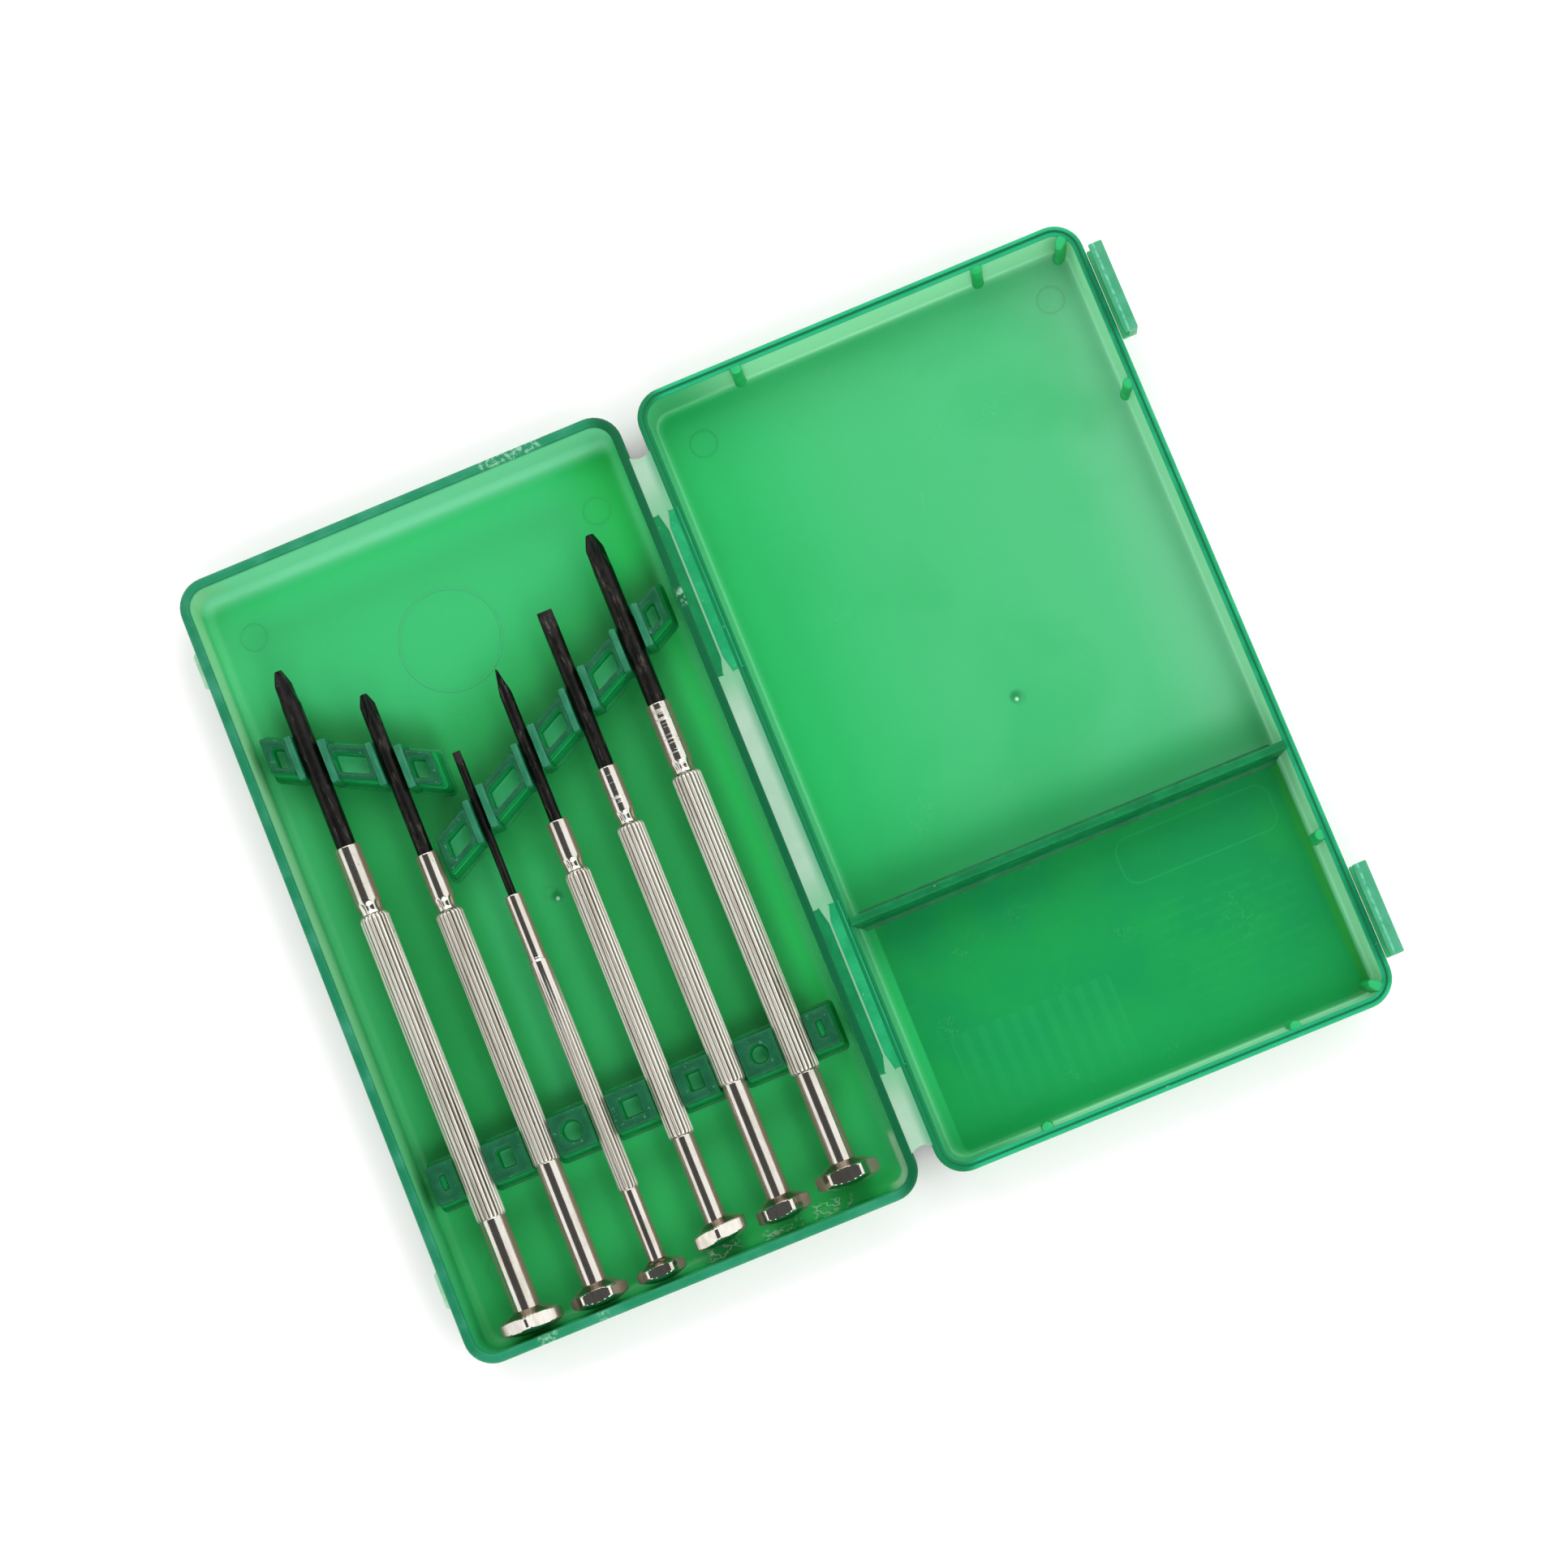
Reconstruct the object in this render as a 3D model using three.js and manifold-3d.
// Precision screwdriver set: six small screwdrivers with swivel caps in a hinged plastic case that lies open.
// Millimetres, +Z up. The case lies flat on z = 0 with its hinge along Y: the tray is towards -X, the lid
// towards +X, and the blades point to +Y. The origin is the middle of the open set's footprint.

import * as THREE from 'three';
import { mergeVertices } from 'three/addons/utils/BufferGeometryUtils.js';
import Module from 'manifold-3d';

const wasm = await Module();
wasm.setup();

// ---- Driving dimensions: the case ----

const CASE_LENGTH = 116;        // along Y
const HALF_WIDTH = 66.2;        // one half of the case, along X
const FOLD_HEIGHT = 9.5;        // the hinge's fold line, above the table
const HALF_HEIGHT = FOLD_HEIGHT - 0.1;   // both rims stay just below the fold, and meet when it shuts
const RIM_GAP = 2.7;            // between the two rims when the case lies open
const RIM_WALL = 1.35;
const FLOOR = 1.2;
const CORNER_RADIUS = 4.2;
const LEAST_CORNER = 0.6;
const OUTER_DRAFT = 0.55;       // how far the outside pulls in between the rim and the table
const INNER_DRAFT = 0.35;
const EDGE_ROUND = 0.9;         // the rounded edge between a floor and its walls
const EDGE_MIDDLE = 0.3;        // where that edge's middle lies, as a share of it
const ARC_STEPS = 5;

const CATCH = { length: 5, proud: 0.7, low: 6.8, high: 7.8 };
const LATCH_Y = 46;             // latches and catches sit this far either side of the middle
const LATCH = { length: 13.2, plate: 1.2, reach: 2.2, low: 8.3, foot: 9.3, high: 13.1 };
const LATCH_LIP = { proud: 0.75, low: 12.4 };
const LATCH_GAP = 0.1;

// The hinge: a thin web between the rims, and two pairs of stiff flanges that narrow it to a fold line.
const WEB = { low: 9.1, high: 9.35, from: -52.9, to: 50.4, hollow: 0.6, fold: 0.5 };
const WEB_GAP = 0.05;
const FLANGE = { y: 29.4, length: 23.7, low: 8.6, high: 9.35, cutAcross: 0.6, cutAlong: 2.2 };

const DIVIDER = { y: -20.7, thickness: 1.2, high: 9.2 };
const LABEL = { width: 60.1, length: 35, thickness: 0.15, x: 35.15, y: -38.4, round: 1.5 };
const LABEL_RECESS = { depth: 0.25, margin: 0.25, gap: 0.05 };
const LOCATING_RIB = { width: 1.7, proud: 1, high: 9, endX: [16.8, 52.8], sideY: [33.5, -33.8] };

// The hinge line's place, which puts the origin midway between the catches' and the latches' outer faces.
const HINGE_X = (CATCH.proud - LATCH.reach) / 2;

// ---- Driving dimensions: the racks that the screwdrivers lie in ----

const RACK_TOP = 7.6;
const RACK_DRAFT = 0.35;
const CELL_WALL = 1.35;
const CELL_FLOOR = 5;
const SLOT_CLEARANCE = 0.15;
const BLADE_RACK_DEPTH = 5.2;   // along Y
const HANDLE_RACK = { y: -32.5, depth: 5.6, left: -64.2, right: -4.7 };
const LEFT_RACK = { left: -64, right: -42.3, yLeft: 31.7, slope: -0.5 };
const RIGHT_RACK = { left: -46, right: -4.8, yLeft: 9.2, slope: 0.518 };

// ---- Driving dimensions: the screwdrivers ----

const AXIS_HEIGHT = 6.1;
const RING = 24;                // points round a blade or a cap
const PIN_RING = 12;
const BARREL_RING = 32;         // points round a barrel: two for each flute
const FLUTE_DEPTH = 0.16;
const NECK = { length: 1.7, endShare: 1 / 3, setBack: 0.4 };   // between the ferrule and the flutes
const FLUTE_RUN_OUT = 0.3;
const BLADE_DEPTH = 6;          // how far a blade is pressed into its barrel
// The blades' tips, in shaft radii but for the flat one's edge. Depths are those of the grooves of the cross.
const CROSS_TIP = { end: 0.2, cone: 1.45, wings: 2.4, runOut: 3.6, depths: [0.2, 0.5, 0.3] };
const FLAT_TIP = { width: 0.95, edge: 0.13, root: 0.62, taper: 2.6, runOut: 3.6 };
const PRESS_GAP = 0.03;
const SWIVEL_GAP = 0.08;        // radial, between a stem and the socket of its cap
const PIN = {
  radius: 0.55, depth: 3, bearingGap: 0.07,
  headRadius: 1.05, head: 0.45, headGap: 0.1, proud: 0.05, crownRadius: 0.735, crown: 0.15,
};
const SOCKET_DEPTH = 0.8;
const COLLAR = { wall: 0.45, length: 0.95, edge: 0.1 };
const CAP = { shoulder: 0.97, face: 0.7, dome: 0.55 };   // the first two as shares of the flats' distance
const END_GAP = 0.1;

// One row for each screwdriver from the outer side of the tray to the hinge. Places along Y: the tip, the
// ferrule's and the flutes' starts, the flutes' end, and the cap's collar and end. The rest are diameters,
// with the cap's taken across its corners, the depth of the neck's crimp, and the angle that each cap has
// been left at.
const DRIVERS = [
  { x: -58.2, tip: 42.2, ferrule: 15.7, flutes: 5, stem: -39.4, cap: -52.6, end: -55.9, kind: 'phillips',
    blade: 2.8, sleeve: 3.7, crimp: 0.3, grip: 4.2, neck: 3.85, head: 9.5, turn: 28 },
  { x: -48.3, tip: 34.6, ferrule: 10.6, flutes: 1.6, stem: -35.2, cap: -52.8, end: -56, kind: 'phillips',
    blade: 2.25, sleeve: 3.05, crimp: 0.3, grip: 3.9, neck: 3.45, head: 8.4, turn: 0 },
  { x: -39.2, tip: 22.2, ferrule: 0.7, flutes: -9.2, stem: -42.8, cap: -53, end: -56, kind: 'slotted',
    blade: 1.2, sleeve: 2.5, crimp: 0, grip: 2.8, neck: 2.45, head: 7.3, turn: 2 },
  { x: -29.8, tip: 30.6, ferrule: 7.9, flutes: -0.1, stem: -38.8, cap: -51.1, end: -54.5, kind: 'edgewise',
    blade: 1.8, sleeve: 3.1, crimp: 0.3, grip: 3.6, neck: 3.05, head: 8.4, turn: 29 },
  { x: -20.6, tip: 35.7, ferrule: 12.2, flutes: 3.2, stem: -34.7, cap: -51.3, end: -54.7, kind: 'slotted',
    blade: 2.3, sleeve: 2.9, crimp: 0.3, grip: 3.85, neck: 3.4, head: 8.2, turn: -7 },
  { x: -10.8, tip: 43.2, ferrule: 17.7, flutes: 6.7, stem: -37.1, cap: -50.2, end: -53.7, kind: 'phillips',
    blade: 2.75, sleeve: 3.4, crimp: 0.3, grip: 4.2, neck: 3.55, head: 9.3, turn: 0 },
];

// ---- Materials ----

const plastic = (color) => () => new THREE.MeshStandardMaterial({ color, roughness: 0.38, metalness: 0 });
const metal = (color, roughness) => () => new THREE.MeshStandardMaterial({ color, roughness, metalness: 1 });

const trayGreen = plastic(0x2fb765);
const lidGreen = plastic(0x4ac474);
const rackGreen = plastic(0x1f8f55);
const hingeGreen = plastic(0x8fdcae);
const labelGreen = plastic(0x209f55);
const nickel = metal(0xcac4ba, 0.25);
const blackOxide = metal(0x1c1b1b, 0.45);

// ---- Geometry helpers ----

// A closed skin through rings that all have the same count of points. The ends are capped with fans, or a
// looped skin joins its last ring to its first, which leaves a hole through the middle.
function loft(rings, looped = false) {
  const count = rings[0].length;
  const points = rings.flat();
  const index = [];
  const spans = looped ? rings.length : rings.length - 1;
  for (let ring = 0; ring < spans; ring++) {
    const here = ring * count;
    const next = ((ring + 1) % rings.length) * count;
    for (let i = 0; i < count; i++) {
      const j = (i + 1) % count;
      index.push(here + i, here + j, next + j, here + i, next + j, next + i);
    }
  }
  if (!looped) {
    const last = (rings.length - 1) * count;
    for (let i = 1; i < count - 1; i++) {
      index.push(0, i + 1, i, last, last + i, last + i + 1);
    }
  }
  return facingOut(new THREE.BufferGeometry().setFromPoints(points).setIndex(index));
}

// Turns every triangle round if the closed skin encloses a negative volume.
function facingOut(geometry) {
  const corner = [0, 1, 2].map(() => new THREE.Vector3());
  const { index, attributes } = geometry;
  let volume = 0;
  for (let i = 0; i < index.count; i += 3) {
    corner.forEach((point, k) => point.fromBufferAttribute(attributes.position, index.getX(i + k)));
    volume += corner[0].dot(corner[1].cross(corner[2]));
  }
  if (volume < 0) {
    index.array.reverse();
  }
  return geometry;
}

function toSolid(geometry) {
  const bare = geometry.clone().deleteAttribute('normal').deleteAttribute('uv');
  const merged = mergeVertices(bare, 1e-5);
  return new wasm.Manifold(new wasm.Mesh({
    numProp: 3,
    vertProperties: new Float32Array(merged.attributes.position.array),
    triVerts: new Uint32Array(merged.index.array),
  }));
}

function toGeometry(solid) {
  const mesh = solid.getMesh();
  const geometry = new THREE.BufferGeometry();
  geometry.setAttribute('position', new THREE.BufferAttribute(mesh.vertProperties, 3));
  return geometry.setIndex(new THREE.BufferAttribute(mesh.triVerts, 1));
}

const joined = (first, rest) => rest.reduce((solid, extra) => solid.add(toSolid(extra)), first);
const cut = (first, rest) => rest.reduce((solid, tool) => solid.subtract(toSolid(tool)), first);

// A box between two corners.
function block(low, high) {
  const size = high.map((value, i) => value - low[i]);
  const middle = high.map((value, i) => (value + low[i]) / 2);
  return new THREE.BoxGeometry(...size).translate(...middle);
}

// An upright prism over an outline of [x, y] corners, which may be hollowed.
function prism(outline, low, high) {
  const shape = new THREE.Shape(outline.map(([x, y]) => new THREE.Vector2(x, y)));
  return new THREE.ExtrudeGeometry(shape, { depth: high - low, bevelEnabled: false }).translate(0, 0, low);
}

// A rounded rectangle of points at one height, each corner an arc.
function roundedRing(x, y, halfX, halfY, radius, z) {
  const points = [];
  for (let quarter = 0; quarter < 4; quarter++) {
    const sideX = quarter === 0 || quarter === 3 ? 1 : -1;
    const sideY = quarter < 2 ? 1 : -1;
    for (let step = 0; step <= ARC_STEPS; step++) {
      const angle = (quarter + step / ARC_STEPS) * Math.PI / 2;
      points.push(new THREE.Vector3(
        x + sideX * (halfX - radius) + radius * Math.cos(angle),
        y + sideY * (halfY - radius) + radius * Math.sin(angle),
        z));
    }
  }
  return points;
}

// A ring round the Y axis, with its radius given as a function of the angle.
function axialRing(y, radiusAt, count = RING) {
  return Array.from({ length: count }, (_, i) => {
    const angle = (i / count) * Math.PI * 2;
    const radius = radiusAt(angle, i);
    return new THREE.Vector3(radius * Math.cos(angle), y, radius * Math.sin(angle));
  });
}

const circle = (radius) => () => radius;
const fluted = (radius) => (angle, i) => radius - (i % 2) * FLUTE_DEPTH;
const reach = (half, share) => half / Math.max(Math.abs(share), 1e-6);
const rectangle = (halfX, halfZ) => (angle) =>
  Math.min(reach(halfX, Math.cos(angle)), reach(halfZ, Math.sin(angle)));
const cross = (radius, depth) => (angle) => radius * (1 - depth * Math.sin(2 * angle) ** 2);
const hexagon = (flat) => (angle) => flat / Math.cos((angle % (Math.PI / 3)) - Math.PI / 6);

function piece(name, geometry, makeMaterial) {
  const mesh = new THREE.Mesh(geometry, makeMaterial());
  mesh.name = name;
  return mesh;
}

// ---- The case ----

// One half of the case as an open box, its middle at x. inset is measured in from the rim's outline.
function halfShell(x) {
  const ring = (inset, z) => roundedRing(
    x, 0, HALF_WIDTH / 2 - inset, CASE_LENGTH / 2 - inset, Math.max(CORNER_RADIUS - inset, LEAST_CORNER), z);
  const outside = loft([
    ring(OUTER_DRAFT + EDGE_ROUND, 0),
    ring(OUTER_DRAFT + EDGE_ROUND * EDGE_MIDDLE, EDGE_ROUND * EDGE_MIDDLE),
    ring(OUTER_DRAFT, EDGE_ROUND),
    ring(0, HALF_HEIGHT),
  ]);
  const wallFoot = RIM_WALL + INNER_DRAFT;
  const inside = loft([
    ring(wallFoot + EDGE_ROUND, FLOOR),
    ring(wallFoot + EDGE_ROUND * EDGE_MIDDLE, FLOOR + EDGE_ROUND * EDGE_MIDDLE),
    ring(wallFoot, FLOOR + EDGE_ROUND),
    ring(RIM_WALL, HALF_HEIGHT),
    ring(RIM_WALL, HALF_HEIGHT + 1),
  ]);
  return cut(toSolid(outside), [inside]);
}

// The stiff flanges that one half holds out towards the fold line, on the side that side says. Their corners
// are cut away where they come near the fold.
function hingeFlanges(side) {
  const near = WEB.fold / 2 + WEB_GAP;
  const far = RIM_GAP / 2 + RIM_WALL / 2;
  const half = FLANGE.length / 2;
  return [-FLANGE.y, FLANGE.y].map((y) => prism([
    [side * far, y - half],
    [side * (near + FLANGE.cutAcross), y - half],
    [side * near, y - half + FLANGE.cutAlong],
    [side * near, y + half - FLANGE.cutAlong],
    [side * (near + FLANGE.cutAcross), y + half],
    [side * far, y + half],
  ], FLANGE.low, FLANGE.high));
}

const halfMiddle = (RIM_GAP + HALF_WIDTH) / 2;
const farEdge = RIM_GAP / 2 + HALF_WIDTH;

function trayShell() {
  const catches = [-LATCH_Y, LATCH_Y].map((y) => block(
    [-farEdge - CATCH.proud, y - CATCH.length / 2, CATCH.low],
    [-farEdge + RIM_WALL / 2, y + CATCH.length / 2, CATCH.high]));
  return toGeometry(joined(halfShell(-halfMiddle), [...hingeFlanges(-1), ...catches]));
}

function lidDivider() {
  const inset = RIM_WALL / 2;
  return block(
    [RIM_GAP / 2 + inset, DIVIDER.y - DIVIDER.thickness / 2, FLOOR / 2],
    [farEdge - inset, DIVIDER.y + DIVIDER.thickness / 2, DIVIDER.high]);
}

// Small upright ribs inside the lid's walls that hold the closed halves in line.
function locatingRibs() {
  const { width, proud, high, endX, sideY } = LOCATING_RIB;
  const end = CASE_LENGTH / 2 - RIM_WALL;
  const side = farEdge - RIM_WALL;
  const across = endX.flatMap((x) => [-1, 1].map((way) => {
    const ys = [way * (end + RIM_WALL / 3), way * (end - proud)].sort((a, b) => a - b);
    return block([x - width / 2, ys[0], FLOOR / 2], [x + width / 2, ys[1], high]);
  }));
  const along = sideY.map((y) => block(
    [side - proud, y - width / 2, FLOOR / 2], [side + RIM_WALL / 3, y + width / 2, high]));
  return [...across, ...along];
}

function lidShell() {
  const { depth, margin } = LABEL_RECESS;
  const recess = loft([-1, depth].map((z) => roundedRing(
    LABEL.x, LABEL.y, LABEL.width / 2 + margin, LABEL.length / 2 + margin, LABEL.round, z)));
  const shell = joined(halfShell(halfMiddle), [lidDivider(), ...locatingRibs(), ...hingeFlanges(1)]);
  return toGeometry(cut(shell, [recess]));
}

function lidLabel() {
  const low = LABEL_RECESS.depth - LABEL.thickness - LABEL_RECESS.gap;
  return loft([low, low + LABEL.thickness].map((z) => roundedRing(
    LABEL.x, LABEL.y, LABEL.width / 2, LABEL.length / 2, LABEL.round, z)));
}

// The thin web that bends when the case shuts. It fills the gap between the rims, narrows between each pair
// of flanges, and its ends are hollowed.
function hingeWeb() {
  const wide = RIM_GAP / 2 - WEB_GAP;
  const half = FLANGE.length / 2;
  const besideFlanges = [-FLANGE.y, FLANGE.y].flatMap((y) => [
    [wide, y - half - WEB_GAP],
    [WEB.fold / 2 + FLANGE.cutAcross, y - half - WEB_GAP],
    [WEB.fold / 2, y - half + FLANGE.cutAlong],
    [WEB.fold / 2, y + half - FLANGE.cutAlong],
    [WEB.fold / 2 + FLANGE.cutAcross, y + half + WEB_GAP],
    [wide, y + half + WEB_GAP],
  ]);
  const hollowed = (y, way) => [
    [wide, y],
    [wide / 2, y - way * WEB.hollow * 0.75],
  ];
  const rightSide = [...hollowed(WEB.from, -1).reverse(), ...besideFlanges, ...hollowed(WEB.to, 1)];
  const leftSide = rightSide.map(([x, y]) => [-x, y]).reverse();
  return prism(
    [[0, WEB.from + WEB.hollow], ...rightSide, [0, WEB.to - WEB.hollow], ...leftSide], WEB.low, WEB.high);
}

// A springy tongue on the lid's outer edge, with a lip that hooks under the tray's catch.
function latchTongue(y) {
  const ends = [y - LATCH.length / 2, y + LATCH.length / 2];
  const outer = farEdge + LATCH.reach;
  const inner = outer - LATCH.plate;
  const box = (x0, x1, z0, z1) => block([x0, ends[0], z0], [x1, ends[1], z1]);
  const plate = toSolid(box(inner, outer, LATCH.low, LATCH.high));
  const overlap = 0.2;
  const foot = box(farEdge + LATCH_GAP, inner + overlap, LATCH.low, LATCH.foot);
  const lip = box(inner - LATCH_LIP.proud, inner + overlap, LATCH_LIP.low, LATCH.high);
  return toGeometry(joined(plate, [foot, lip]));
}

// ---- The racks ----

// A four-sided post between two X places on a slanted or straight rack. middleAt gives the rack's middle
// line at any x, and the post's long sides follow it.
function rackPost(left, right, middleAt, depth, low, high, draft) {
  const ring = (grow, z) => [[right, 1], [left, 1], [left, -1], [right, -1]].map(([x, way]) =>
    new THREE.Vector3(x, middleAt(x) + way * (depth / 2 + grow), z));
  return loft([ring(draft, low), ring(0, high)]);
}

// A rack: hollow posts between the screwdrivers, joined by a low saddle under each one. slots lists the
// screwdrivers that cross it, with the diameter that lies in the rack.
function rack({ left, right }, middleAt, depth, slots) {
  const solids = [];
  let start = left;
  for (const { x, diameter } of slots) {
    const half = diameter / 2 + SLOT_CLEARANCE;
    solids.push({ from: start, to: x - half, high: RACK_TOP });
    solids.push({ from: x - half, to: x + half, high: AXIS_HEIGHT - half });
    start = x + half;
  }
  solids.push({ from: start, to: right, high: RACK_TOP });
  const bodies = solids.map(({ from, to, high }) => {
    const draft = RACK_DRAFT * (high - FLOOR) / (RACK_TOP - FLOOR);
    return rackPost(from, to, middleAt, depth, FLOOR, high, draft);
  });
  const cells = solids
    .filter(({ high }) => high === RACK_TOP)
    .map(({ from, to }) => rackPost(
      from + CELL_WALL, to - CELL_WALL, middleAt, depth - 2 * CELL_WALL, CELL_FLOOR, RACK_TOP + 1, 0));
  return toGeometry(cut(joined(toSolid(bodies[0]), bodies.slice(1)), cells));
}

const slantedAt = (line) => (x) => line.yLeft + line.slope * (x - line.left);
const slotsFor = (drivers, part) => drivers.map((driver) => ({ x: driver.x, diameter: driver[part] }));

// ---- A screwdriver: every piece lies along Y with its axis through the local origin ----

function phillipsBlade({ tip, ferrule, blade }) {
  const radius = blade / 2;
  const [endDepth, coneDepth, wingDepth] = CROSS_TIP.depths;
  return loft([
    axialRing(tip, cross(radius * CROSS_TIP.end, endDepth)),
    axialRing(tip - radius * CROSS_TIP.cone, cross(radius, coneDepth)),
    axialRing(tip - radius * CROSS_TIP.wings, cross(radius, wingDepth)),
    axialRing(tip - radius * CROSS_TIP.runOut, circle(radius)),
    axialRing(ferrule - BLADE_DEPTH, circle(radius)),
  ]);
}

// A flat blade. Its wide faces lie up and down, or to the sides where it has been left edgewise.
function slottedBlade({ tip, ferrule, blade, kind }) {
  const radius = blade / 2;
  const flat = kind === 'edgewise'
    ? (half, thickness) => rectangle(thickness, half)
    : (half, thickness) => rectangle(half, thickness);
  return loft([
    axialRing(tip, flat(radius * FLAT_TIP.width, FLAT_TIP.edge)),
    axialRing(tip - radius * FLAT_TIP.taper, flat(radius * FLAT_TIP.width, radius * FLAT_TIP.root)),
    axialRing(tip - radius * FLAT_TIP.runOut, circle(radius)),
    axialRing(ferrule - BLADE_DEPTH, circle(radius)),
  ]);
}

// The barrel: a bored ferrule, a neck, the fluted grip, and a plain stem with a bore for the pin.
function barrel({ ferrule, flutes, stem, cap, blade, sleeve, crimp, grip, neck }) {
  const ring = (y, radiusAt) => axialRing(y, radiusAt, BARREL_RING);
  const bore = circle(blade / 2 + PRESS_GAP);
  const pinBore = circle(PIN.radius + PRESS_GAP);
  const neckStart = flutes + NECK.setBack;
  const stemEnd = cap - SOCKET_DEPTH + END_GAP;
  return loft([
    ring(ferrule - BLADE_DEPTH - END_GAP, bore),
    ring(ferrule, bore),
    ring(ferrule, circle(sleeve / 2)),
    ring(neckStart + NECK.length, circle(sleeve / 2)),
    ring(neckStart + NECK.length / 2, circle(sleeve / 2 - crimp)),
    ring(neckStart, circle(sleeve / 2 - crimp * NECK.endShare)),
    ring(flutes, fluted(grip / 2)),
    ring(stem + FLUTE_RUN_OUT, fluted(grip / 2)),
    ring(stem, circle(neck / 2)),
    ring(stemEnd, circle(neck / 2)),
    ring(stemEnd, pinBore),
    ring(stemEnd + PIN.depth, pinBore),
  ]);
}

// The swivel cap: a coned collar with a socket for the stem, six flats, and a domed end with a recess for the
// pin's head.
function swivelCap({ cap, end, neck, head, turn }) {
  const ring = (y, radiusAt) => axialRing(y, radiusAt);
  const socket = circle(neck / 2 + SWIVEL_GAP);
  const bearing = circle(PIN.radius + PIN.bearingGap);
  const recess = circle(PIN.headRadius + PIN.headGap);
  const flat = head / 2 * Math.cos(Math.PI / 6);
  const recessFloor = end + PIN.head + PIN.headGap;
  return loft([
    ring(cap, socket),
    ring(cap, circle(neck / 2 + SWIVEL_GAP + COLLAR.wall)),
    ring(cap - COLLAR.length, circle(flat * CAP.shoulder)),
    ring(cap - COLLAR.length - COLLAR.edge, hexagon(flat)),
    ring(end + CAP.dome, hexagon(flat)),
    ring(end, circle(flat * CAP.face)),
    ring(end, recess),
    ring(recessFloor, recess),
    ring(recessFloor, bearing),
    ring(cap - SOCKET_DEPTH, bearing),
    ring(cap - SOCKET_DEPTH, socket),
  ], true).rotateY(THREE.MathUtils.degToRad(turn));
}

// The headed pin that holds a cap on its stem and lets it turn.
function capPin({ cap, end }) {
  const headInside = end + PIN.head;
  const tip = cap - SOCKET_DEPTH + PIN.depth;
  const outline = [
    [0, end - PIN.proud],
    [PIN.crownRadius, end - PIN.proud],
    [PIN.headRadius, end - PIN.proud + PIN.crown],
    [PIN.headRadius, headInside],
    [PIN.radius, headInside],
    [PIN.radius, tip],
    [0, tip],
  ];
  return new THREE.LatheGeometry(outline.map(([x, y]) => new THREE.Vector2(x, y)), PIN_RING);
}

function screwdriver(driver, number) {
  const group = new THREE.Group();
  const bladeOf = driver.kind === 'phillips' ? phillipsBlade : slottedBlade;
  group.add(
    piece(`driver_${number}_blade`, bladeOf(driver), blackOxide),
    piece(`driver_${number}_barrel`, barrel(driver), nickel),
    piece(`driver_${number}_swivel_cap`, swivelCap(driver), nickel),
    piece(`driver_${number}_cap_pin`, capPin(driver), nickel));
  group.position.set(driver.x, 0, AXIS_HEIGHT);
  return group;
}

// ---- The whole set ----

const openSet = new THREE.Group();
openSet.position.x = HINGE_X;

const handleRack = rack(HANDLE_RACK, () => HANDLE_RACK.y, HANDLE_RACK.depth, slotsFor(DRIVERS, 'grip'));
const leftBladeRack = rack(
  LEFT_RACK, slantedAt(LEFT_RACK), BLADE_RACK_DEPTH, slotsFor(DRIVERS.slice(0, 2), 'blade'));
const rightBladeRack = rack(
  RIGHT_RACK, slantedAt(RIGHT_RACK), BLADE_RACK_DEPTH, slotsFor(DRIVERS.slice(2), 'blade'));

openSet.add(
  piece('tray_shell', trayShell(), trayGreen),
  piece('handle_rack', handleRack, rackGreen),
  piece('blade_rack_left', leftBladeRack, rackGreen),
  piece('blade_rack_right', rightBladeRack, rackGreen),
  piece('lid_shell', lidShell(), lidGreen),
  piece('lid_label', lidLabel(), labelGreen),
  piece('hinge_web', hingeWeb(), hingeGreen),
  piece('latch_tongue_tip_end', latchTongue(LATCH_Y), lidGreen),
  piece('latch_tongue_cap_end', latchTongue(-LATCH_Y), lidGreen));

DRIVERS.forEach((driver, i) => openSet.add(screwdriver(driver, i + 1)));

export default openSet;
